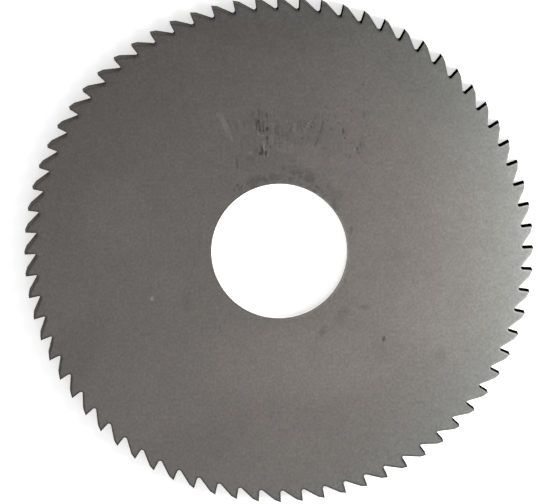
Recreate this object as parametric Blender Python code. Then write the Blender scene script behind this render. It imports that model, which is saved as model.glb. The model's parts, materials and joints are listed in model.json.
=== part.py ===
# Slitting saw: a hardened high-speed-steel disc with fine saw teeth and a plain arbor bore.
# It is made as the real one is: a blank is turned and its sides are ground hollow, and the
# tooth form is then cut round its rim.
# Frame: origin on the bore axis at mid-thickness, Z along the bore, the disc lying flat, the
# teeth pointing counter-clockwise as seen from +Z, with one cutting tip on +Y.

import bpy
import bmesh
import math
from mathutils import Matrix, Vector

MM = 0.001

# Disc
OUTER_DIAMETER = 60.0 * MM
THICKNESS = 2.5 * MM
BORE_DIAMETER = 16.0 * MM
BORE_CHAMFER = 0.20 * MM

# Side faces: a flat seat round the bore for the arbor flanges, then a hollow grind that lets
# the plate run clear in its own slot, then a flat rim band that carries the teeth
SEAT_DIAMETER = 26.0 * MM
HOLLOW_GRIND_DEG = 0.25
RIM_BAND = 0.40 * MM

# Teeth
TOOTH_COUNT = 72
TOOTH_DEPTH = 1.40 * MM
RAKE_DEG = 2.0
LAND_LENGTH = 0.75 * MM
LAND_RELIEF_DEG = 20.0
GULLET_RADIUS = 0.25 * MM

# The blank is left over size, so that the whole outline is cut, and the cut runs past it
BLANK_ALLOWANCE = 0.50 * MM
CUT_OVERRUN = 0.50 * MM

# Facets of the turned circles and of each gullet, and the least angle of a crisp edge
FACETS_PER_TOOTH = 2
GULLET_FACETS = 10
CRISP_EDGE_DEG = 16.0

STEEL_COLOUR = (0.40, 0.385, 0.365, 1.0)
STEEL_ROUGHNESS = 0.42

HALF_THICKNESS = THICKNESS / 2.0
TIP_RADIUS = OUTER_DIAMETER / 2.0
ROOT_RADIUS = TIP_RADIUS - TOOTH_DEPTH
BAND_RADIUS = ROOT_RADIUS - RIM_BAND
SEAT_RADIUS = SEAT_DIAMETER / 2.0
BORE_RADIUS = BORE_DIAMETER / 2.0
HOLLOW_DEPTH = (BAND_RADIUS - SEAT_RADIUS) * math.tan(math.radians(HOLLOW_GRIND_DEG))
SEAT_HEIGHT = HALF_THICKNESS - HOLLOW_DEPTH

FULL_TURN = 2.0 * math.pi
QUARTER_TURN = FULL_TURN / 4.0
PITCH = FULL_TURN / TOOTH_COUNT
TIP = Vector((0.0, TIP_RADIUS))


def direction(angle):
    """Unit vector in the plane of the disc, at an angle counter-clockwise from +X."""
    return Vector((math.cos(angle), math.sin(angle)))


def turned(point, angle):
    """The point turned counter-clockwise about the bore axis."""
    return Matrix.Rotation(angle, 2) @ point


def land_heel():
    """Back end of the relieved land that runs clockwise from the tip on +Y."""
    return TIP + LAND_LENGTH * direction(-math.radians(LAND_RELIEF_DEG))


def gullet_centre(down_rake_face, off_rake_face):
    """Centre of the gullet's circle, which touches the rake face and the root circle."""
    start = TIP + GULLET_RADIUS * off_rake_face
    inward = -start.dot(down_rake_face)
    reach = math.sqrt(inward ** 2 - start.length_squared + (ROOT_RADIUS + GULLET_RADIUS) ** 2)
    return start + (inward - reach) * down_rake_face


def tooth_space():
    """One space of the outline, counter-clockwise: from the cutting tip on +Y down its rake
    face, round the gullet, and straight up the back of the tooth ahead to that tooth's heel."""
    rake = math.radians(RAKE_DEG)
    centre = gullet_centre(direction(rake - QUARTER_TURN), -direction(rake))
    heel_ahead = turned(land_heel(), PITCH)

    # The back is the line through the heel that is tangent to the gullet's circle
    to_heel = heel_ahead - centre
    back = math.atan2(to_heel.y, to_heel.x) - math.asin(GULLET_RADIUS / to_heel.length)
    sweep = (back + QUARTER_TURN - rake) % FULL_TURN - FULL_TURN

    gullet = [
        centre + GULLET_RADIUS * direction(rake + sweep * step / GULLET_FACETS)
        for step in range(GULLET_FACETS + 1)
    ]
    return [TIP] + gullet + [heel_ahead]


def new_object(name, bm):
    bmesh.ops.recalc_face_normals(bm, faces=bm.faces)
    mesh = bpy.data.meshes.new(name)
    bm.to_mesh(mesh)
    bm.free()
    obj = bpy.data.objects.new(name, mesh)
    bpy.context.scene.collection.objects.link(obj)
    return obj


def turned_blank():
    """The plate before its teeth are cut: its half section spun about the bore axis."""
    upper_side = [
        (BORE_RADIUS, SEAT_HEIGHT - BORE_CHAMFER),
        (BORE_RADIUS + BORE_CHAMFER, SEAT_HEIGHT),
        (SEAT_RADIUS, SEAT_HEIGHT),
        (BAND_RADIUS, HALF_THICKNESS),
        (TIP_RADIUS + BLANK_ALLOWANCE, HALF_THICKNESS),
    ]
    lower_side = [(radius, -height) for radius, height in reversed(upper_side)]

    # The facets meet in the middle of the lands, clear of the outline's own corners
    heel = land_heel()
    mid_land = (math.atan2(heel.y, heel.x) + QUARTER_TURN) / 2.0

    bm = bmesh.new()
    corners = []
    for radius, height in upper_side + lower_side:
        x, y = radius * direction(mid_land)
        corners.append(bm.verts.new((x, y, height)))
    edges = [bm.edges.new((corners[i - 1], corners[i])) for i in range(len(corners))]
    bmesh.ops.spin(bm, geom=corners + edges, axis=(0.0, 0.0, 1.0), angle=FULL_TURN,
                   steps=TOOTH_COUNT * FACETS_PER_TOOTH, use_merge=True)
    return new_object("slitting_saw", bm)


def tooth_form():
    """Prism of the finished outline: one tooth space repeated round the disc."""
    bottom = -HALF_THICKNESS - CUT_OVERRUN
    bm = bmesh.new()
    outline = []
    for tooth in range(TOOTH_COUNT):
        for point in tooth_space():
            x, y = turned(point, tooth * PITCH)
            outline.append(bm.verts.new((x, y, bottom)))
    extruded = bmesh.ops.extrude_face_region(bm, geom=[bm.faces.new(outline)])
    top = [item for item in extruded["geom"] if isinstance(item, bmesh.types.BMVert)]
    bmesh.ops.translate(bm, verts=top, vec=(0.0, 0.0, -2.0 * bottom))
    form = new_object("tooth_form", bm)
    form.hide_render = True
    form.display_type = "WIRE"
    return form


def cut_teeth(blank, form):
    """Keep what the blank and the tooth form share, then mark the crisp edges."""
    cut = blank.modifiers.new("teeth", "BOOLEAN")
    cut.operation = "INTERSECT"
    cut.solver = "EXACT"
    cut.object = form
    evaluated = blank.evaluated_get(bpy.context.evaluated_depsgraph_get())
    toothed = bpy.data.meshes.new_from_object(evaluated)
    blank.modifiers.clear()
    blank.data = toothed
    toothed.shade_smooth()
    toothed.set_sharp_from_angle(angle=math.radians(CRISP_EDGE_DEG))
    bpy.data.objects.remove(form, do_unlink=True)


def high_speed_steel():
    """Grey satin of ground and hardened tool steel."""
    material = bpy.data.materials.new("high_speed_steel")
    material.use_nodes = True
    shader = material.node_tree.nodes["Principled BSDF"]
    shader.inputs["Base Color"].default_value = STEEL_COLOUR
    shader.inputs["Roughness"].default_value = STEEL_ROUGHNESS
    shader.inputs["Metallic"].default_value = 1.0
    return material


def build():
    for obj in list(bpy.data.objects):
        bpy.data.objects.remove(obj, do_unlink=True)
    saw = turned_blank()
    cut_teeth(saw, tooth_form())
    saw.data.materials.clear()
    saw.data.materials.append(high_speed_steel())


build()
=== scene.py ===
# Slitting saw lying flat on a white board in soft light. The imported plate keeps its shape and is
# given its finish here: satin grit-blasted sides, tooth walls painted dark (a thin brown skin
# darkened as painted shade on the backs, painted black shade on the rake faces), a bright bore
# whose colour is partly painted light, painted shade and highlight on the edges, a painted pool of
# light below the bore, and the marks of use.

import json
import math

import bpy
from mathutils import Matrix, Vector

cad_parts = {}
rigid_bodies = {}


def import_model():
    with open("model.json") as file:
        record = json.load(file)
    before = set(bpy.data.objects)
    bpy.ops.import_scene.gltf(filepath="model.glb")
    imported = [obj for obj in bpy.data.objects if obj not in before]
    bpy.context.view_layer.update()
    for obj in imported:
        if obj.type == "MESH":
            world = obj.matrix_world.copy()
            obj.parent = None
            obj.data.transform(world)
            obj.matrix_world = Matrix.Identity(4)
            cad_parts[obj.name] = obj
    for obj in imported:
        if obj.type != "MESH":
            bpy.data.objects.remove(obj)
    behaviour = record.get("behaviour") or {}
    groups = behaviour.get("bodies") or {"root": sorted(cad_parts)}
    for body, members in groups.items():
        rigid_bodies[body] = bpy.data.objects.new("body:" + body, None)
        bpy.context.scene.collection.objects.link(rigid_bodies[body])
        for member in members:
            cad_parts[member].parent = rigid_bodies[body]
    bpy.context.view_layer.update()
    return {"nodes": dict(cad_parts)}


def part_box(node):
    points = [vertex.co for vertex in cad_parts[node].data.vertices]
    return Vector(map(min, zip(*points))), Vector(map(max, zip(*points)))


MM = 0.001

# The photograph's frame, and where it shows the middle of the saw
IMAGE_WIDTH_PX = 560
IMAGE_HEIGHT_PX = 504
SAW_CENTRE_PX = (278.92, 249.84)
PIXELS_PER_MM = 8.483

# The camera looks nearly straight down. It leans towards +Y and a little towards -X.
CAMERA_DISTANCE = 1500.0 * MM
CAMERA_LEAN_X_DEG = -2.4
CAMERA_LEAN_Y_DEG = 8.8
CAMERA_ROLL_DEG = -0.356
SENSOR_WIDTH_MM = 36.0

# The room: light walls up to the first height and a dark ceiling above the second, the heights
# as the sine of the angle above the horizon
WALL_TOP = 0.55
CEILING_EDGE = 0.88
WALL_LEVEL = 0.90
CEILING_LEVEL = 0.04

# The board, and the share of its white that it gives off by itself to a ray that sees it
BOARD_SIDE = 6.0
BOARD_WHITE = "#F2F2F2"
BOARD_GLOW = 0.60

# The saw's own sizes, and the radii that part its finishes: the bore's wall lies inside the
# first, its chamfer inside the second, and the toothed rim outside the third
BORE_RADIUS_MM = 8.0
CHAMFER_RADIUS_MM = 8.2
ROOT_RADIUS_MM = 28.6
BORE_LIMIT_MM = BORE_RADIUS_MM + 0.1
CHAMFER_LIMIT_MM = CHAMFER_RADIUS_MM + 0.02
RIM_LIMIT_MM = ROOT_RADIUS_MM - 0.3

# A surface is a wall where the height of its normal is below the first value, and belongs to
# the shown side above the second
WALL_NORMAL = 0.30
SHOWN_SIDE_NORMAL = 0.5

# A tooth wall turns from a back to a rake face as the forward part of its normal goes from the
# first value to the second
BACK_FORWARD = 0.30
RAKE_FORWARD = 0.70

# Colours of the finishes. The sides are warm grey up to the first radius about a centre of
# their own, and cool grey from the second.
SIDE_WARM_GREY = "#827D79"
SIDE_COOL_GREY = "#7F807C"
WARM_CENTRE_MM = (-6.0, -0.5, 0.0)
WARM_RADIUS_MM = 22.0
COOL_RADIUS_MM = 36.0
# The backs' brown is a thin skin darkened as painted shade, and the rake faces' black is painted
# shade
BACK_DARK_BROWN = "#4E4843"
BACK_LIGHT_BROWN = "#665F58"
RAKE_PAINTED_SHADE = "#0B0A09"
# The bore is ground bright, and this colour is brighter still than ground steel: painted light
# that lifts the shade inside the bore
BORE_BRIGHT = "#E2DFDB"

# Roughness of the finishes
SIDE_ROUGHNESS = (0.33, 0.39)
CHAMFER_ROUGHNESS = 0.60
BORE_ROUGHNESS = 0.20
SKIN_ROUGHNESS = 0.60

# Share of the tooth backs that the thin brown hardening skin covers, a skin darkened as painted
# shade; the rake faces are covered all over with painted black shade
SKIN_COVER_ON_BACKS = 0.62

# Painted shade and painted highlight on the tooth corners and the bore's chamfer: the share of
# the light that they lose where darkest and gain where brightest. The line on the tooth corners is
# drawn wider than the real one, so that it shows.
CORNER_REACH_MM = 0.45
CORNER_DARKEST = -0.72
CORNER_BRIGHTEST = 0.45
CHAMFER_BRIGHT_SIDE = (0.98, -0.17, 0.0)
CHAMFER_DARKEST = -0.60
CHAMFER_BRIGHTEST = 0.25

# The corners start where the cosine between the bevelled normal and the surface's own falls to
# the first value, and are full at the second. They go from painted shade to painted highlight
# between the two X values, and weaken between the two Y values to a share of their strength.
CORNER_COSINES = (0.999, 0.95)
CORNER_DARK_X_MM = 15.0
CORNER_BRIGHT_X_MM = 26.0
CORNER_STRONG_Y_MM = -5.0
CORNER_WEAK_Y_MM = 15.0
CORNER_WEAK_SHARE = 0.45

# The chamfer goes from painted shade to painted highlight as its outward direction, along the
# bright side, goes from minus this to plus this
CHAMFER_SPAN = 0.9

# Patterns: size in millimetres and how far each swings the tone
GRIT_MM = 0.30
GRIT_STRETCH = (1.0, 0.88, 1.0)
GRIT_SPREAD = 0.18
GRIT_BUMP = 0.15
GRIT_DEPTH_MM = 0.02
MOTTLE_MM = 0.8
MOTTLE_SPREAD = 0.08
CLOUDS_MM = 6.0
CLOUDS_SPREAD = 0.03

# Rubbed lines: their width and length in millimetres, and the radius where they have that
# width. The strengths are the share of the light that the lines and the stains take, and each
# grows from nothing to that between its two values of the noise.
RUB_WIDTH_MM = 0.32
RUB_LENGTH_MM = 1.6
RUB_RADIUS_MM = 14.0
RUB_NOISE = (0.48, 0.75)
RUB_STRENGTH = 0.30
STAIN_NOISE = (0.46, 0.68)
STAIN_STRENGTH = 0.42

# A mark fades from its full strength to nothing between these, in half axes squared
MARK_CORE = 0.1
MARK_EDGE = 1.5

# Nearly all of a noise lies between these
NOISE_LOW = 0.2
NOISE_HIGH = 0.8

# Indices of the colour sockets of the Mix node
MIX_FACTOR = 0
MIX_A = 6
MIX_B = 7
MIX_RESULT = 2


def linear(hex_colour):
    """sRGB hex colour as linear RGBA."""
    values = [int(hex_colour[i:i + 2], 16) / 255.0 for i in (1, 3, 5)]
    return [v / 12.92 if v <= 0.04045 else ((v + 0.055) / 1.055) ** 2.4 for v in values] + [1.0]


def add(tree, kind, inputs=None, **settings):
    """Add a node with its settings; each input is given a value or the socket that feeds it."""
    node = tree.nodes.new(kind)
    for name, value in settings.items():
        setattr(node, name, value)
    for name, value in (inputs or {}).items():
        socket = node.inputs[name]
        if isinstance(value, bpy.types.NodeSocket):
            tree.links.new(value, socket)
        else:
            socket.default_value = value
    return node


def empty_material(name):
    material = bpy.data.materials.new(name)
    material.use_nodes = True
    material.node_tree.nodes.clear()
    return material


def clear_scene():
    for obj in list(bpy.data.objects):
        bpy.data.objects.remove(obj, do_unlink=True)


def place_camera():
    """Long lens over the saw, at the lean and turn that the photograph shows."""
    view_width = IMAGE_WIDTH_PX / PIXELS_PER_MM * MM
    towards_camera = Vector((
        math.tan(math.radians(CAMERA_LEAN_X_DEG)),
        math.tan(math.radians(CAMERA_LEAN_Y_DEG)),
        1.0,
    )).normalized()
    up = Vector((0.0, 1.0, 0.0))
    up = (up - up.dot(towards_camera) * towards_camera).normalized()
    up = Matrix.Rotation(math.radians(CAMERA_ROLL_DEG), 3, towards_camera) @ up
    right = up.cross(towards_camera)

    off_centre_x = (IMAGE_WIDTH_PX / 2.0 - SAW_CENTRE_PX[0]) / PIXELS_PER_MM * MM
    off_centre_y = (SAW_CENTRE_PX[1] - IMAGE_HEIGHT_PX / 2.0) / PIXELS_PER_MM * MM
    target = off_centre_x * right + off_centre_y * up

    data = bpy.data.cameras.new("camera")
    data.sensor_width = SENSOR_WIDTH_MM
    data.lens = SENSOR_WIDTH_MM * CAMERA_DISTANCE / view_width
    data.clip_start = 0.1
    data.clip_end = 20.0
    camera = bpy.data.objects.new("camera", data)
    bpy.context.scene.collection.objects.link(camera)
    rotation = Matrix((right, up, towards_camera)).transposed().to_4x4()
    camera.matrix_world = Matrix.Translation(target + CAMERA_DISTANCE * towards_camera) @ rotation
    bpy.context.scene.camera = camera


def softbox(name, position_mm, diameter_mm, watts):
    """Round soft lamp that faces the saw."""
    position = Vector(position_mm) * MM
    data = bpy.data.lights.new(name, "AREA")
    data.shape = "DISK"
    data.size = diameter_mm * MM
    data.energy = watts
    lamp = bpy.data.objects.new(name, data)
    lamp.location = position
    lamp.rotation_euler = position.to_track_quat("Z", "Y").to_euler()
    lamp.visible_camera = False
    bpy.context.scene.collection.objects.link(lamp)


def light_room():
    """White walls all round, a dark ceiling over the camera, and two lamps close to the saw."""
    world = bpy.data.worlds.new("studio")
    world.use_nodes = True
    tree = world.node_tree
    direction = add(tree, "ShaderNodeTexCoord")
    direction = add(tree, "ShaderNodeSeparateXYZ", {0: direction.outputs["Generated"]})
    level = add(tree, "ShaderNodeMapRange", {
        "Value": direction.outputs["Z"],
        "From Min": WALL_TOP,
        "From Max": CEILING_EDGE,
        "To Min": WALL_LEVEL,
        "To Max": CEILING_LEVEL,
    }, interpolation_type="SMOOTHSTEP")
    background = tree.nodes["Background"]
    background.inputs["Color"].default_value = linear("#FFFFFF")
    tree.links.new(level.outputs[0], background.inputs["Strength"])
    bpy.context.scene.world = world
    softbox("side_lamp", position_mm=(70.0, -10.0, 60.0), diameter_mm=70.0, watts=0.12)
    softbox("overhead_lamp", position_mm=(0.0, -60.0, 160.0), diameter_mm=120.0, watts=0.0273)


def white_board():
    """White lacquered board, matt. It shows as plain white, and the saw's shadow stays on it."""
    material = empty_material("white_board")
    tree = material.node_tree
    rays = add(tree, "ShaderNodeLightPath")
    seen = add(tree, "ShaderNodeMath", {
        0: rays.outputs["Is Camera Ray"],
        1: rays.outputs["Is Glossy Ray"],
    }, operation="MAXIMUM")
    seen = add(tree, "ShaderNodeMath", {
        0: seen.outputs[0],
        1: rays.outputs["Is Transmission Ray"],
    }, operation="MAXIMUM")
    lift = add(tree, "ShaderNodeMath", {0: seen.outputs[0], 1: BOARD_GLOW},
               operation="MULTIPLY")
    glow = add(tree, "ShaderNodeEmission", {
        "Color": linear("#FFFFFF"),
        "Strength": lift.outputs[0],
    })
    lacquer = add(tree, "ShaderNodeBsdfDiffuse", {"Color": linear(BOARD_WHITE)})
    both = add(tree, "ShaderNodeAddShader", {0: glow.outputs[0], 1: lacquer.outputs[0]})
    add(tree, "ShaderNodeOutputMaterial", {"Surface": both.outputs[0]})
    return material


def lay_board(height):
    half = BOARD_SIDE / 2.0
    corners = [(-half, -half, height), (half, -half, height),
               (half, half, height), (-half, half, height)]
    mesh = bpy.data.meshes.new("board")
    mesh.from_pydata(corners, [], [(0, 1, 2, 3)])
    mesh.materials.append(white_board())
    board = bpy.data.objects.new("board", mesh)
    bpy.context.scene.collection.objects.link(board)


# Marks on the shown side, in millimetres and degrees: centre x, centre y, length, width, the
# lean of the mark's length from +Y towards +X, and the share of the light it takes or gives
DARK_MARKS = (
    # Thick cluster of rubbed streaks, left of the line straight up from the bore
    (-2.60, 15.2, 1.35, 0.26, -6, 0.45),
    (-2.31, 16.5, 1.10, 0.30, -5, 0.30),
    (-2.36, 15.5, 0.60, 0.30, -6, 0.55),
    (-2.28, 15.0, 1.50, 0.26, -6, 0.42),
    (-2.18, 14.5, 0.60, 0.30, -6, 0.55),
    (-1.79, 15.0, 1.40, 0.20, -2, 0.36),
    (-1.78, 14.4, 0.50, 0.24, 0, 0.52),
    (-1.38, 16.2, 1.00, 0.26, -6, 0.36),
    (-1.35, 14.6, 0.70, 0.34, 0, 0.58),
    (-1.75, 14.4, 0.40, 1.50, 0, 0.20),
    (-1.10, 14.6, 0.40, 0.20, 0, 0.24),
    (-3.05, 16.2, 1.50, 0.60, -4, 0.16),
    (-1.35, 13.5, 0.65, 0.30, 0, 0.52),
    (-1.33, 12.9, 0.60, 0.26, -6, 0.40),
    (-0.98, 12.4, 0.60, 0.28, 0, 0.26),
    (-2.10, 12.3, 0.90, 0.26, -4, 0.36),
    (-1.92, 12.0, 1.15, 0.28, -2, 0.58),
    (-2.12, 11.7, 0.60, 0.56, 0, 0.52),
    (-1.52, 11.7, 0.70, 0.30, -2, 0.58),
    (-2.62, 11.9, 1.10, 0.50, -4, 0.20),
    (-3.55, 11.1, 0.32, 0.28, 0, 0.28),
    (-2.97, 11.0, 0.28, 0.32, 0, 0.28),
    (-3.30, 11.2, 0.90, 1.50, 0, 0.08),
    (-5.85, 15.3, 1.70, 0.20, -18, 0.17),
    (-4.92, 10.5, 1.50, 0.32, -9, 0.24),
    (-4.40, 12.6, 1.60, 0.24, -9, 0.12),
    (-4.90, 14.9, 1.70, 0.50, -6, 0.13),
    # Weaker rubbing right of it
    (-0.25, 14.5, 1.50, 0.55, 0, 0.23),
    (-0.10, 14.0, 0.70, 0.50, 0, 0.24),
    (-0.20, 15.4, 1.00, 0.50, 0, 0.09),
    (0.00, 13.4, 0.50, 0.22, 0, 0.18),
    (0.16, 13.7, 0.22, 0.50, 0, 0.14),
    (0.55, 14.4, 1.10, 0.60, 2, 0.09),
    (1.00, 13.3, 0.45, 0.36, 0, 0.20),
    (1.40, 14.3, 0.90, 0.50, 4, 0.21),
    (1.55, 14.8, 0.40, 0.30, 4, 0.18),
    (1.20, 15.5, 0.60, 0.30, 4, 0.15),
    (1.20, 16.5, 0.24, 0.34, 0, 0.15),
    (2.60, 15.0, 0.60, 0.26, 8, 0.20),
    (2.72, 14.5, 0.50, 0.44, 8, 0.19),
    (3.02, 15.5, 0.30, 0.26, 0, 0.31),
    (3.22, 15.2, 0.60, 0.20, 4, 0.29),
    (3.40, 15.5, 0.20, 0.36, 0, 0.22),
    (3.03, 14.8, 0.24, 0.24, 0, 0.36),
    (3.86, 14.8, 0.26, 0.24, 0, 0.45),
    (4.00, 15.3, 0.50, 0.26, 10, 0.21),
    (4.16, 14.7, 0.50, 0.26, 10, 0.25),
    (4.60, 14.2, 0.34, 0.34, 0, 0.25),
    (3.50, 13.5, 0.60, 0.40, 10, 0.19),
    (2.75, 13.4, 0.26, 0.40, 0, 0.27),
    (5.16, 15.0, 1.20, 0.34, 14, 0.28),
    (4.95, 14.2, 0.70, 0.34, 14, 0.32),
    (4.50, 13.0, 1.30, 0.32, 22, 0.32),
    (4.28, 12.5, 0.34, 0.40, 0, 0.30),
    (5.30, 12.2, 0.32, 0.40, 0, 0.34),
    (6.18, 14.5, 0.55, 0.32, 0, 0.22),
    (5.75, 15.5, 0.26, 0.20, 0, 0.27),
    (5.75, 13.8, 0.24, 0.26, 0, 0.18),
    (6.72, 16.0, 0.36, 0.18, 0, 0.20),
    (7.60, 14.2, 0.85, 0.36, 0, 0.38),
    (7.80, 13.4, 0.32, 0.26, 20, 0.40),
    (8.05, 13.8, 0.24, 0.26, 0, 0.22),
    (8.58, 16.6, 0.36, 0.20, 0, 0.34),
    (8.00, 16.7, 0.26, 0.24, 0, 0.20),
    (9.26, 12.1, 0.65, 0.26, 6, 0.38),
    (9.65, 12.6, 0.30, 0.26, 30, 0.40),
    (9.40, 11.6, 0.50, 0.44, 0, 0.22),
    (8.40, 11.2, 0.65, 0.26, 6, 0.25),
    (8.60, 12.8, 0.26, 0.26, 0, 0.22),
    (9.75, 13.4, 0.40, 0.34, 0, 0.18),
    (10.7, 13.7, 0.30, 0.30, 0, 0.19),
    (4.15, 15.0, 1.00, 0.60, 0, 0.15),
    (3.10, 15.3, 0.80, 0.50, 0, 0.14),
    (1.00, 13.8, 1.60, 0.80, 15, 0.15),
    (5.00, 13.9, 3.20, 0.70, 16, 0.10),
    (7.00, 17.2, 0.30, 0.30, 0, 0.25),
    (9.80, 12.6, 1.40, 0.90, 10, 0.16),
    (10.1, 16.2, 0.90, 0.50, 0, 0.14),
    (5.70, 17.1, 0.50, 0.60, 0, 0.16),
    # Stains round the bore, where the arbor's flange has sat
    (1.75, 9.25, 0.55, 0.40, 0, 0.28),
    (2.50, 8.90, 0.50, 0.50, 0, 0.30),
    (3.25, 9.70, 0.50, 0.40, 10, 0.20),
    (4.00, 9.10, 0.60, 0.36, 20, 0.24),
    (3.45, 8.50, 0.50, 0.50, 20, 0.24),
    (4.50, 7.60, 0.40, 0.90, 30, 0.30),
    (5.05, 7.05, 0.40, 0.40, 30, 0.28),
    (0.30, 9.00, 0.60, 1.30, 0, 0.14),
    (-2.30, 9.00, 0.30, 0.70, -14, 0.20),
    (-3.10, 8.75, 0.40, 0.50, -20, 0.22),
    (-3.60, 8.10, 0.30, 0.60, -24, 0.26),
    (-4.90, 7.95, 0.22, 0.60, -30, 0.38),
    (-5.25, 7.40, 0.60, 0.24, -30, 0.26),
    (-7.00, 9.00, 0.32, 0.32, 0, 0.24),
    (-2.80, 8.50, 1.00, 2.20, -16, 0.26),
    (3.60, 8.60, 1.20, 1.60, 20, 0.28),
    (2.10, 9.40, 0.80, 1.70, 10, 0.22),
    (-0.20, 8.70, 0.50, 1.20, 0, 0.22),
    (-4.60, 7.60, 0.90, 0.60, -30, 0.22),
    # Soft spots further out
    (6.90, 6.50, 1.90, 1.20, 45, 0.13),
    (8.45, 2.40, 1.30, 0.50, 10, 0.22),
    (7.75, -3.60, 0.50, 0.40, 0, 0.20),
    (7.30, -7.70, 2.40, 1.40, 30, 0.12),
    (10.1, -6.80, 0.70, 1.30, 0, 0.18),
    (9.90, 7.70, 0.60, 0.50, 0, 0.14),
    (5.00, -9.70, 1.20, 0.80, 20, 0.18),
    (-11.0, -6.00, 2.40, 1.60, 0, 0.08),
    (11.9, -12.2, 2.60, 1.80, 0, 0.09),
    (19.0, -12.6, 2.60, 1.60, 0, 0.08),
    (13.6, -0.60, 1.20, 2.60, 0, 0.06),
    # Small nicks
    (12.25, -10.6, 0.80, 0.42, 10, 0.50),
    (-1.10, -19.7, 0.50, 0.24, 0, 0.26),
    (10.0, 19.7, 0.40, 0.34, 0, 0.26),
    # Broad uneven tone of the grit blasting
    (1.50, 12.8, 8.0, 15.0, 0, 0.05),
    (-25.0, -14.0, 18.0, 6.0, 28, 0.08),
    (-11.0, -24.0, 6.0, 16.0, -24, 0.06),
    (3.0, 26.0, 5.0, 22.0, 0, 0.06),
    (17.0, 20.0, 6.0, 16.0, 42, 0.04),
)
LIGHT_MARKS = (
    # Bare streak on the left
    (-6.45, 15.3, 2.40, 0.60, -20, 0.24),
    (-6.90, 16.3, 0.90, 0.90, -30, 0.16),
    (-5.60, 13.6, 1.20, 0.44, -26, 0.20),
    # Bare metal between the dark streaks
    (-1.74, 12.5, 0.97, 0.21, 4, 0.50),
    (-1.62, 12.1, 0.32, 0.23, 0, 0.43),
    (-1.80, 13.0, 0.43, 0.34, 0, 0.25),
    (-1.95, 13.8, 0.18, 0.60, 0, 0.33),
    (-2.35, 14.0, 0.37, 0.30, 0, 0.25),
    (-0.66, 15.0, 2.40, 0.40, 0, 0.13),
    (-0.75, 13.0, 0.50, 0.30, 0, 0.16),
    (-1.30, 11.4, 0.65, 0.28, 0, 0.18),
    (-1.10, 12.0, 1.30, 0.23, 0, 0.12),
    (-3.35, 11.8, 0.50, 0.60, 0, 0.17),
    (0.24, 13.2, 0.30, 0.22, 0, 0.20),
    (0.95, 15.5, 0.50, 0.34, 10, 0.14),
    (1.87, 14.5, 1.00, 0.20, 4, 0.16),
    (1.95, 15.1, 0.40, 0.44, 0, 0.15),
    (0.90, 12.7, 0.80, 0.90, 0, 0.12),
    (1.55, 12.6, 0.60, 0.60, 0, 0.13),
    (1.95, 12.0, 0.24, 0.70, 0, 0.18),
    (2.30, 10.9, 1.60, 0.44, 10, 0.11),
    (3.50, 15.2, 0.30, 0.24, 0, 0.27),
    (3.40, 14.8, 0.20, 0.44, 0, 0.20),
    (8.90, 12.0, 0.34, 0.26, 0, 0.22),
    (10.2, 13.8, 0.34, 0.34, 0, 0.20),
    # Broader bare metal round the streaks
    (0.90, 12.2, 1.20, 3.40, 6, 0.13),
    (3.90, 11.3, 3.40, 3.20, 0, 0.09),
    (6.90, 10.7, 1.40, 2.40, 0, 0.09),
    (-0.80, 13.3, 1.20, 0.80, 0, 0.14),
    (-6.05, 14.8, 2.80, 0.60, -16, 0.16),
    # Bright nick on the left
    (-15.05, -5.45, 0.60, 0.42, 20, 0.60),
    # A painted pool of light below the bore, then broad uneven tone of the grit blasting
    (1.50, -13.4, 10.0, 24.0, 0, 0.12),
    (-19.0, 4.5, 10.0, 9.0, 0, 0.07),
    (16.0, -8.0, 8.0, 14.0, 20, 0.06),
)


def marks(tree, place, table):
    """Strongest of the soft elongated spots in a table of marks. The place's Z is 1, so that one
    product gives how far a point lies along or across a mark, in half lengths or half widths."""
    total = None
    for x, y, length, width, lean, strength in table:
        turn = math.radians(lean)
        along = Vector((math.sin(turn), math.cos(turn))) / (length / 2.0)
        across = Vector((math.cos(turn), -math.sin(turn))) / (width / 2.0)
        centre = Vector((x, y))
        far = add(tree, "ShaderNodeVectorMath", {
            0: place,
            1: (along.x, along.y, -centre.dot(along)),
        }, operation="DOT_PRODUCT").outputs["Value"]
        aside = add(tree, "ShaderNodeVectorMath", {
            0: place,
            1: (across.x, across.y, -centre.dot(across)),
        }, operation="DOT_PRODUCT").outputs["Value"]
        aside = add(tree, "ShaderNodeMath", {0: aside, 1: aside}, operation="MULTIPLY").outputs[0]
        reach = add(tree, "ShaderNodeMath", {0: far, 1: far, 2: aside},
                    operation="MULTIPLY_ADD").outputs[0]
        soft = add(tree, "ShaderNodeMapRange", {
            "Value": reach,
            "From Min": MARK_EDGE,
            "From Max": MARK_CORE,
            "To Min": 0.0,
            "To Max": strength,
        }, interpolation_type="SMOOTHSTEP").outputs[0]
        if total is None:
            total = soft
        else:
            total = add(tree, "ShaderNodeMath", {0: total, 1: soft},
                        operation="MAXIMUM").outputs[0]
    return total


def patch(tree, place, x, y, length, width, inner, outer):
    """1 within a soft ellipse and 0 outside it, in shares of its half axes."""
    spot = add(tree, "ShaderNodeMapping", {
        "Vector": place,
        "Location": (x, y, 0.0),
        "Scale": (width / 2.0, length / 2.0, 1.0),
    }, vector_type="TEXTURE")
    reach = add(tree, "ShaderNodeVectorMath", {0: spot.outputs[0]}, operation="LENGTH")
    return add(tree, "ShaderNodeMapRange", {
        "Value": reach.outputs["Value"],
        "From Min": outer,
        "From Max": inner,
    }, interpolation_type="SMOOTHSTEP").outputs[0]


def around(tree, noise, spread):
    """Turn a noise into a factor that swings about 1."""
    return add(tree, "ShaderNodeMapRange", {
        "Value": noise,
        "From Min": NOISE_LOW,
        "From Max": NOISE_HIGH,
        "To Min": 1.0 - spread,
        "To Max": 1.0 + spread,
    }, clamp=False).outputs[0]


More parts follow.
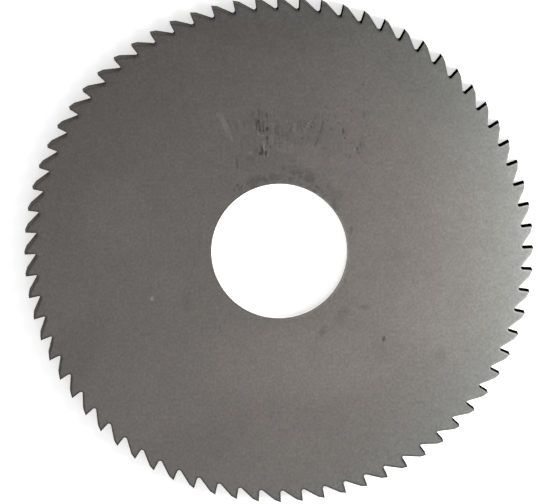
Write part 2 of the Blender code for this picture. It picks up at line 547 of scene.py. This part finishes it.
def finish_zones(tree, normal, outward, radius):
    """Where each finish lies: the shown side, the bore, its chamfer, and the tooth walls. A rake
    face looks the way the teeth point, counter-clockwise."""
    facing = add(tree, "ShaderNodeSeparateXYZ", {0: normal})
    upright = add(tree, "ShaderNodeMath", {0: facing.outputs["Z"]}, operation="ABSOLUTE")
    shown = add(tree, "ShaderNodeMath", {0: facing.outputs["Z"], 1: SHOWN_SIDE_NORMAL},
                operation="GREATER_THAN").outputs[0]
    steep = add(tree, "ShaderNodeMath", {0: upright.outputs[0], 1: WALL_NORMAL},
                operation="LESS_THAN").outputs[0]

    inner = add(tree, "ShaderNodeMath", {0: radius, 1: BORE_LIMIT_MM},
                operation="LESS_THAN")
    bore = add(tree, "ShaderNodeMath", {0: steep, 1: inner.outputs[0]},
               operation="MULTIPLY").outputs[0]
    chamfer = add(tree, "ShaderNodeMath", {0: radius, 1: CHAMFER_LIMIT_MM},
                  operation="LESS_THAN")
    chamfer = add(tree, "ShaderNodeMath", {0: chamfer.outputs[0], 1: bore},
                  operation="SUBTRACT").outputs[0]

    rim = add(tree, "ShaderNodeMath", {0: radius, 1: RIM_LIMIT_MM},
              operation="GREATER_THAN").outputs[0]
    wall_skin_and_shade = add(tree, "ShaderNodeMath", {0: rim, 1: steep}, operation="MULTIPLY").outputs[0]
    forward = add(tree, "ShaderNodeVectorMath", {0: (0.0, 0.0, 1.0), 1: outward},
                  operation="CROSS_PRODUCT")
    forward = add(tree, "ShaderNodeVectorMath", {0: forward.outputs[0], 1: normal},
                  operation="DOT_PRODUCT")
    rake = add(tree, "ShaderNodeMapRange", {
        "Value": forward.outputs["Value"],
        "From Min": BACK_FORWARD,
        "From Max": RAKE_FORWARD,
    }).outputs[0]
    return shown, bore, chamfer, rim, wall_skin_and_shade, rake


def marks_and_painted_light(tree, axes, flat_place, radius, mottle):
    """Change of tone by the marks on the shown side and by a painted pool of light below the bore,
    above 0 where bare or lit and below 0 where dark.
    """
    # Fine rubbed lines that run out from the bore, in a fan above it
    bearing = add(tree, "ShaderNodeMath", {0: axes.outputs["X"], 1: axes.outputs["Y"]},
                  operation="ARCTAN2")
    polar = add(tree, "ShaderNodeCombineXYZ", {"X": bearing.outputs[0], "Y": radius})
    polar = add(tree, "ShaderNodeVectorMath", {
        0: polar.outputs[0],
        1: (RUB_RADIUS_MM / RUB_WIDTH_MM, 1.0 / RUB_LENGTH_MM, 1.0),
    }, operation="MULTIPLY")
    rubs = add(tree, "ShaderNodeTexNoise", {
        "Vector": polar.outputs[0],
        "Scale": 1.0,
        "Detail": 2.0,
        "Roughness": 0.5,
    })
    rubs = add(tree, "ShaderNodeMapRange", {
        "Value": rubs.outputs["Fac"],
        "From Min": RUB_NOISE[0],
        "From Max": RUB_NOISE[1],
        "To Max": RUB_STRENGTH,
    })
    fan = patch(tree, flat_place, x=0.8, y=14.4, length=6.4, width=15.0, inner=0.4, outer=1.2)
    rubs = add(tree, "ShaderNodeMath", {0: rubs.outputs[0], 1: fan}, operation="MULTIPLY")

    # Mottled stains near the bore, most of them above it
    stains = add(tree, "ShaderNodeMapRange", {
        "Value": mottle,
        "From Min": STAIN_NOISE[0],
        "From Max": STAIN_NOISE[1],
        "To Max": STAIN_STRENGTH,
    })
    stained = patch(tree, flat_place, x=1.0, y=4.5, length=13.0, width=14.0, inner=0.75,
                    outer=1.0)
    stains = add(tree, "ShaderNodeMath", {0: stains.outputs[0], 1: stained},
                 operation="MULTIPLY")

    mark_place = add(tree, "ShaderNodeVectorMath", {0: flat_place, 1: (0.0, 0.0, 1.0)},
                     operation="ADD").outputs[0]
    dark = marks(tree, mark_place, DARK_MARKS)
    dark = add(tree, "ShaderNodeMath", {0: dark, 1: rubs.outputs[0]}, operation="MAXIMUM")
    dark = add(tree, "ShaderNodeMath", {0: dark.outputs[0], 1: stains.outputs[0]},
               operation="MAXIMUM")
    light = marks(tree, mark_place, LIGHT_MARKS)
    return add(tree, "ShaderNodeMath", {0: light, 1: dark.outputs[0]},
               operation="SUBTRACT").outputs[0]


def corner_shade_and_highlight(tree, axes, normal, rim):
    """Painted shade on the tooth corners, turning to a painted highlight on the right. They lie
    where a bevelled normal leaves the surface's own."""
    rounded = add(tree, "ShaderNodeBevel", {"Radius": CORNER_REACH_MM * MM}, samples=6)
    corner = add(tree, "ShaderNodeVectorMath", {0: rounded.outputs[0], 1: normal},
                 operation="DOT_PRODUCT")
    corner = add(tree, "ShaderNodeMapRange", {
        "Value": corner.outputs["Value"],
        "From Min": CORNER_COSINES[0],
        "From Max": CORNER_COSINES[1],
    })
    corner = add(tree, "ShaderNodeMath", {0: corner.outputs[0], 1: rim}, operation="MULTIPLY")
    change = add(tree, "ShaderNodeMapRange", {
        "Value": axes.outputs["X"],
        "From Min": CORNER_DARK_X_MM,
        "From Max": CORNER_BRIGHT_X_MM,
        "To Min": CORNER_DARKEST,
        "To Max": CORNER_BRIGHTEST,
    })
    weaker_above = add(tree, "ShaderNodeMapRange", {
        "Value": axes.outputs["Y"],
        "From Min": CORNER_STRONG_Y_MM,
        "From Max": CORNER_WEAK_Y_MM,
        "To Min": 1.0,
        "To Max": CORNER_WEAK_SHARE,
    })
    change = add(tree, "ShaderNodeMath", {0: change.outputs[0], 1: weaker_above.outputs[0]},
                 operation="MULTIPLY")
    return add(tree, "ShaderNodeMath", {0: change.outputs[0], 1: corner.outputs[0], 2: 1.0},
               operation="MULTIPLY_ADD").outputs[0]


def chamfer_shade_and_highlight(tree, outward, chamfer):
    """Painted shade on the bore's chamfer, darkest on the left, turning to a painted highlight on
    the right.
    """
    side = add(tree, "ShaderNodeVectorMath", {0: outward, 1: CHAMFER_BRIGHT_SIDE},
               operation="DOT_PRODUCT")
    change = add(tree, "ShaderNodeMapRange", {
        "Value": side.outputs["Value"],
        "From Min": -CHAMFER_SPAN,
        "From Max": CHAMFER_SPAN,
        "To Min": CHAMFER_DARKEST,
        "To Max": CHAMFER_BRIGHTEST,
    })
    return add(tree, "ShaderNodeMath", {0: change.outputs[0], 1: chamfer, 2: 1.0},
               operation="MULTIPLY_ADD").outputs[0]


def high_speed_steel():
    """High-speed steel. The sides are ground and then blasted with fine grit, which gives an even
    dull satin grey with no lay. The tooth walls are painted dark: a thin brown hardening skin on
    the backs, darkened further as painted shade, and painted black shade on the rake faces. The
    bore is ground bright, and its colour is lifted further as painted light."""
    material = empty_material("high_speed_steel")
    tree = material.node_tree
    where = add(tree, "ShaderNodeTexCoord")
    normal = where.outputs["Normal"]
    place = add(tree, "ShaderNodeVectorMath", {0: where.outputs["Object"], "Scale": 1.0 / MM},
                operation="SCALE").outputs[0]
    axes = add(tree, "ShaderNodeSeparateXYZ", {0: place})
    flat_place = add(tree, "ShaderNodeCombineXYZ", {
        "X": axes.outputs["X"],
        "Y": axes.outputs["Y"],
    }).outputs[0]
    radius = add(tree, "ShaderNodeVectorMath", {0: flat_place},
                 operation="LENGTH").outputs["Value"]
    outward = add(tree, "ShaderNodeVectorMath", {0: flat_place}, operation="NORMALIZE").outputs[0]
    shown, bore, chamfer, rim, wall_skin_and_shade, rake = finish_zones(tree, normal, outward, radius)

    # The grit, 0.1 mm, is too fine to show, so it is drawn at 0.3 mm, and a little longer along
    # Y. The mottle and the clouds are what uneven blasting leaves.
    grit_place = add(tree, "ShaderNodeVectorMath", {0: place, 1: GRIT_STRETCH},
                     operation="MULTIPLY")
    grit = add(tree, "ShaderNodeTexNoise", {
        "Vector": grit_place.outputs[0],
        "Scale": 1.0 / GRIT_MM,
        "Detail": 2.0,
        "Roughness": 0.6,
    }).outputs["Fac"]
    mottle = add(tree, "ShaderNodeTexNoise", {
        "Vector": place,
        "Scale": 1.0 / MOTTLE_MM,
        "Detail": 3.0,
        "Roughness": 0.6,
    }).outputs["Fac"]
    clouds = add(tree, "ShaderNodeTexNoise", {
        "Vector": place,
        "Scale": 1.0 / CLOUDS_MM,
        "Detail": 2.0,
        "Roughness": 0.5,
    }).outputs["Fac"]

    # Tone of the sides: the grain, the marks with the painted pool of light, and the painted shade
    # and highlight on the corners and the chamfer, one on another
    marks_and_light = marks_and_painted_light(tree, axes, flat_place, radius, mottle)
    marks_and_light = add(tree, "ShaderNodeMath", {0: marks_and_light, 1: shown, 2: 1.0},
               operation="MULTIPLY_ADD").outputs[0]
    tone = around(tree, grit, GRIT_SPREAD)
    for layer in (
        around(tree, mottle, MOTTLE_SPREAD),
        around(tree, clouds, CLOUDS_SPREAD),
        marks_and_light,
        corner_shade_and_highlight(tree, axes, normal, rim),
        chamfer_shade_and_highlight(tree, outward, chamfer),
    ):
        tone = add(tree, "ShaderNodeMath", {0: tone, 1: layer}, operation="MULTIPLY").outputs[0]

    # Warm grey in the middle, and neutral grey towards the rim, most on the right
    cool = add(tree, "ShaderNodeVectorMath", {0: flat_place, 1: WARM_CENTRE_MM},
               operation="DISTANCE")
    cool = add(tree, "ShaderNodeMapRange", {
        "Value": cool.outputs["Value"],
        "From Min": WARM_RADIUS_MM,
        "From Max": COOL_RADIUS_MM,
    }, interpolation_type="SMOOTHSTEP")
    side_colour = add(tree, "ShaderNodeMix", {
        MIX_FACTOR: cool.outputs[0],
        MIX_A: linear(SIDE_WARM_GREY),
        MIX_B: linear(SIDE_COOL_GREY),
    }, data_type="RGBA")
    side_colour = add(tree, "ShaderNodeVectorMath", {
        0: side_colour.outputs[MIX_RESULT],
        "Scale": tone,
    }, operation="SCALE")

    # Tooth walls: brown skin darkened as painted shade on the backs, painted black shade on the
    # rake faces
    back_colour = add(tree, "ShaderNodeMix", {
        MIX_FACTOR: mottle,
        MIX_A: linear(BACK_DARK_BROWN),
        MIX_B: linear(BACK_LIGHT_BROWN),
    }, data_type="RGBA")
    wall_skin_and_shade_colour = add(tree, "ShaderNodeMix", {
        MIX_FACTOR: rake,
        MIX_A: back_colour.outputs[MIX_RESULT],
        MIX_B: linear(RAKE_PAINTED_SHADE),
    }, data_type="RGBA")
    colour = add(tree, "ShaderNodeMix", {
        MIX_FACTOR: bore,
        MIX_A: side_colour.outputs[0],
        MIX_B: linear(BORE_BRIGHT),
    }, data_type="RGBA")
    colour = add(tree, "ShaderNodeMix", {
        MIX_FACTOR: wall_skin_and_shade,
        MIX_A: colour.outputs[MIX_RESULT],
        MIX_B: wall_skin_and_shade_colour.outputs[MIX_RESULT],
    }, data_type="RGBA")

    # Painted black shade hides all the metal of the rake faces, and the brown skin, darkened as
    # painted shade, hides most of it on the backs
    covered = add(tree, "ShaderNodeMapRange", {"Value": rake, "To Min": SKIN_COVER_ON_BACKS})
    metal = add(tree, "ShaderNodeMath", {0: wall_skin_and_shade, 1: covered.outputs[0]}, operation="MULTIPLY")
    metal = add(tree, "ShaderNodeMath", {0: 1.0, 1: metal.outputs[0]}, operation="SUBTRACT")

    roughness = add(tree, "ShaderNodeMapRange", {
        "Value": mottle,
        "To Min": SIDE_ROUGHNESS[0],
        "To Max": SIDE_ROUGHNESS[1],
    }).outputs[0]
    for zone, value in (
        (chamfer, CHAMFER_ROUGHNESS),
        (bore, BORE_ROUGHNESS),
        (wall_skin_and_shade, SKIN_ROUGHNESS),
    ):
        roughness = add(tree, "ShaderNodeMix", {0: zone, 2: roughness, 3: value},
                        data_type="FLOAT").outputs[0]

    bump = add(tree, "ShaderNodeBump", {
        "Strength": GRIT_BUMP,
        "Distance": GRIT_DEPTH_MM * MM,
        "Height": grit,
    })
    surface = add(tree, "ShaderNodeBsdfPrincipled", {
        "Base Color": colour.outputs[MIX_RESULT],
        "Metallic": metal.outputs[0],
        "Roughness": roughness,
        "Specular IOR Level": 0.0,
        "Normal": bump.outputs[0],
    })
    add(tree, "ShaderNodeOutputMaterial", {"Surface": surface.outputs[0]})
    return material


clear_scene()
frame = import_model()
saw = frame["nodes"]["slitting_saw"]
saw.material_slots[0].material = high_speed_steel()
lay_board(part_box("slitting_saw")[0].z)
place_camera()
light_room()
bpy.context.scene.view_settings.view_transform = "Standard"
